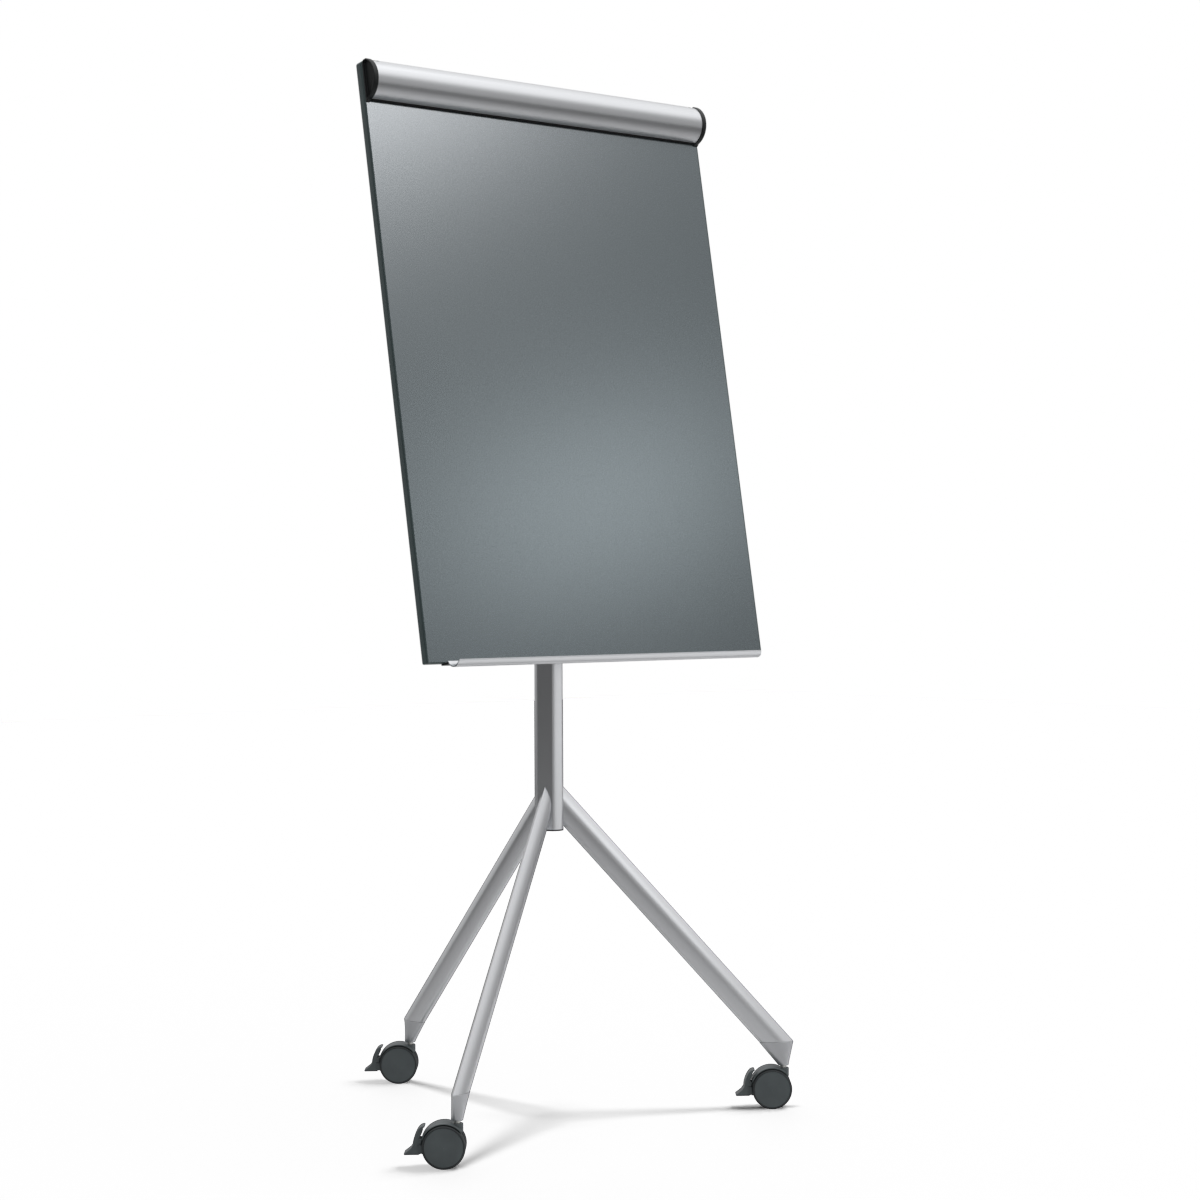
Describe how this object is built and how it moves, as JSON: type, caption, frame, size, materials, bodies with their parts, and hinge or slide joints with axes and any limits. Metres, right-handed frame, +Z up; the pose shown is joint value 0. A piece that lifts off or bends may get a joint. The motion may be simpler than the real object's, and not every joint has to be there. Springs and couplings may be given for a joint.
{
  "type": "flipchart easel",
  "caption": "Mobile flipchart easel: column on three legs with braked twin-wheel castors, leaning board, flip-up paper clamp, sliding paper hooks and pen tray.",
  "frame": {"origin": "on the floor, under the middle of the whole footprint", "axes": "+Z up, the board faces -Y, +X to the right of a person who reads the board"},
  "size_m": [0.8312, 0.7251, 1.8263],
  "materials": {
    "tube_aluminium": "satin anodised",
    "board_steel": "satin grey coated sheet",
    "back_sheet": "matt sheet",
    "board_core": "raw board",
    "edge_band": "matt anthracite",
    "black_plastic": "fine grain moulded",
    "castor_plastic": "satin moulded",
    "rubber": "matt",
    "steel": "zinc plated"
  },
  "bodies": {
    "stand": {"column_tube": "tube_aluminium", "column_end_plug": "black_plastic", "guide_bush": "black_plastic", "clamp_collar": "black_plastic", "leg_left": "tube_aluminium", "leg_plug_left": "black_plastic", "leg_bolt_left": "steel", "foot_left": "tube_aluminium", "castor_stem_left": "steel", "leg_right": "tube_aluminium", "leg_plug_right": "black_plastic", "leg_bolt_right": "steel", "foot_right": "tube_aluminium", "castor_stem_right": "steel", "leg_rear": "tube_aluminium", "leg_plug_rear": "black_plastic", "leg_bolt_rear": "steel", "foot_rear": "tube_aluminium", "castor_stem_rear": "steel"},
    "knob": {"height_knob": "black_plastic"},
    "board": {"mast": "tube_aluminium", "mast_glide": "black_plastic", "head_socket": "tube_aluminium", "tilt_bracket": "steel", "head_bolt_lower": "steel", "head_bolt_upper": "steel", "pen_tray": "tube_aluminium", "tray_carrier": "black_plastic", "edge_band_left": "edge_band", "edge_band_right": "edge_band", "edge_band_bottom": "edge_band", "edge_band_top": "edge_band", "board_face": "board_steel", "board_core": "board_core", "board_back": "back_sheet", "hinge_rod": "steel", "hook_rail": "tube_aluminium", "hinge_bracket_left": "black_plastic", "hinge_bracket_right": "black_plastic"},
    "clamp": {"clamp_cover": "tube_aluminium", "rubber_strip": "rubber", "clamp_end_cap_left": "black_plastic", "clamp_end_cap_right": "black_plastic"},
    "hook_left": {"paper_hook_left": "black_plastic"},
    "hook_right": {"paper_hook_right": "black_plastic"},
    "castor_left": {"castor_hood_left": "castor_plastic", "castor_axle_left": "steel"},
    "pedal_left": {"brake_pedal_left": "castor_plastic"},
    "wheel_front_left": {"castor_wheel_front_left": "castor_plastic"},
    "wheel_back_left": {"castor_wheel_back_left": "castor_plastic"},
    "castor_right": {"castor_hood_right": "castor_plastic", "castor_axle_right": "steel"},
    "pedal_right": {"brake_pedal_right": "castor_plastic"},
    "wheel_front_right": {"castor_wheel_front_right": "castor_plastic"},
    "wheel_back_right": {"castor_wheel_back_right": "castor_plastic"},
    "castor_rear": {"castor_hood_rear": "castor_plastic", "castor_axle_rear": "steel"},
    "pedal_rear": {"brake_pedal_rear": "castor_plastic"},
    "wheel_front_rear": {"castor_wheel_front_rear": "castor_plastic"},
    "wheel_back_rear": {"castor_wheel_back_rear": "castor_plastic"}
  },
  "joints": [
    {"name": "board_height", "type": "slide", "parent": "stand", "child": "board", "axis": [0, 0, 1], "range_m": [-0.14, 0.2]},
    {"name": "knob_turn", "type": "hinge", "parent": "stand", "child": "knob", "pos_m": [0.025, -0.08, 1.01], "axis": [0, 1, 0], "range_deg": [-360, 0]},
    {"name": "clamp_flip", "type": "hinge", "parent": "board", "child": "clamp", "pos_m": [0.025, -0.10268, 1.81938], "axis": [-1, 0, 0], "range_deg": [0, 95]},
    {"name": "hook_left_slide", "type": "slide", "parent": "board", "child": "hook_left", "axis": [1, 0, 0], "range_m": [-0.1, 0.1]},
    {"name": "hook_right_slide", "type": "slide", "parent": "board", "child": "hook_right", "axis": [1, 0, 0], "range_m": [-0.1, 0.1]},
    {"name": "castor_left_swivel", "type": "hinge", "parent": "stand", "child": "castor_left", "pos_m": [-0.34133, -0.3375, 0.07], "axis": [0, 0, 1], "continuous": true},
    {"name": "wheel_front_left_spin", "type": "hinge", "parent": "castor_left", "child": "wheel_front_left", "pos_m": [-0.35742, -0.324, 0.035], "axis": [-0.6428, -0.766, 0], "continuous": true},
    {"name": "wheel_back_left_spin", "type": "hinge", "parent": "castor_left", "child": "wheel_back_left", "pos_m": [-0.35742, -0.324, 0.035], "axis": [-0.6428, -0.766, 0], "continuous": true},
    {"name": "pedal_left_lift", "type": "hinge", "parent": "castor_left", "child": "pedal_left", "pos_m": [-0.38767, -0.29861, 0.043], "axis": [0.6428, 0.766, 0], "range_deg": [0, 10]},
    {"name": "castor_right_swivel", "type": "hinge", "parent": "stand", "child": "castor_right", "pos_m": [0.39133, -0.3375, 0.07], "axis": [0, 0, 1], "continuous": true},
    {"name": "wheel_front_right_spin", "type": "hinge", "parent": "castor_right", "child": "wheel_front_right", "pos_m": [0.37524, -0.324, 0.035], "axis": [-0.6428, -0.766, 0], "continuous": true},
    {"name": "wheel_back_right_spin", "type": "hinge", "parent": "castor_right", "child": "wheel_back_right", "pos_m": [0.37524, -0.324, 0.035], "axis": [-0.6428, -0.766, 0], "continuous": true},
    {"name": "pedal_right_lift", "type": "hinge", "parent": "castor_right", "child": "pedal_right", "pos_m": [0.34498, -0.29861, 0.043], "axis": [0.6428, 0.766, 0], "range_deg": [0, 10]},
    {"name": "castor_rear_swivel", "type": "hinge", "parent": "stand", "child": "castor_rear", "pos_m": [0.025, 0.297, 0.07], "axis": [0, 0, 1], "continuous": true},
    {"name": "wheel_front_rear_spin", "type": "hinge", "parent": "castor_rear", "child": "wheel_front_rear", "pos_m": [0.00891, 0.3105, 0.035], "axis": [-0.6428, -0.766, 0], "continuous": true},
    {"name": "wheel_back_rear_spin", "type": "hinge", "parent": "castor_rear", "child": "wheel_back_rear", "pos_m": [0.00891, 0.3105, 0.035], "axis": [-0.6428, -0.766, 0], "continuous": true},
    {"name": "pedal_rear_lift", "type": "hinge", "parent": "castor_rear", "child": "pedal_rear", "pos_m": [-0.02135, 0.33589, 0.043], "axis": [0.6428, 0.766, 0], "range_deg": [0, 10]}
  ]
}
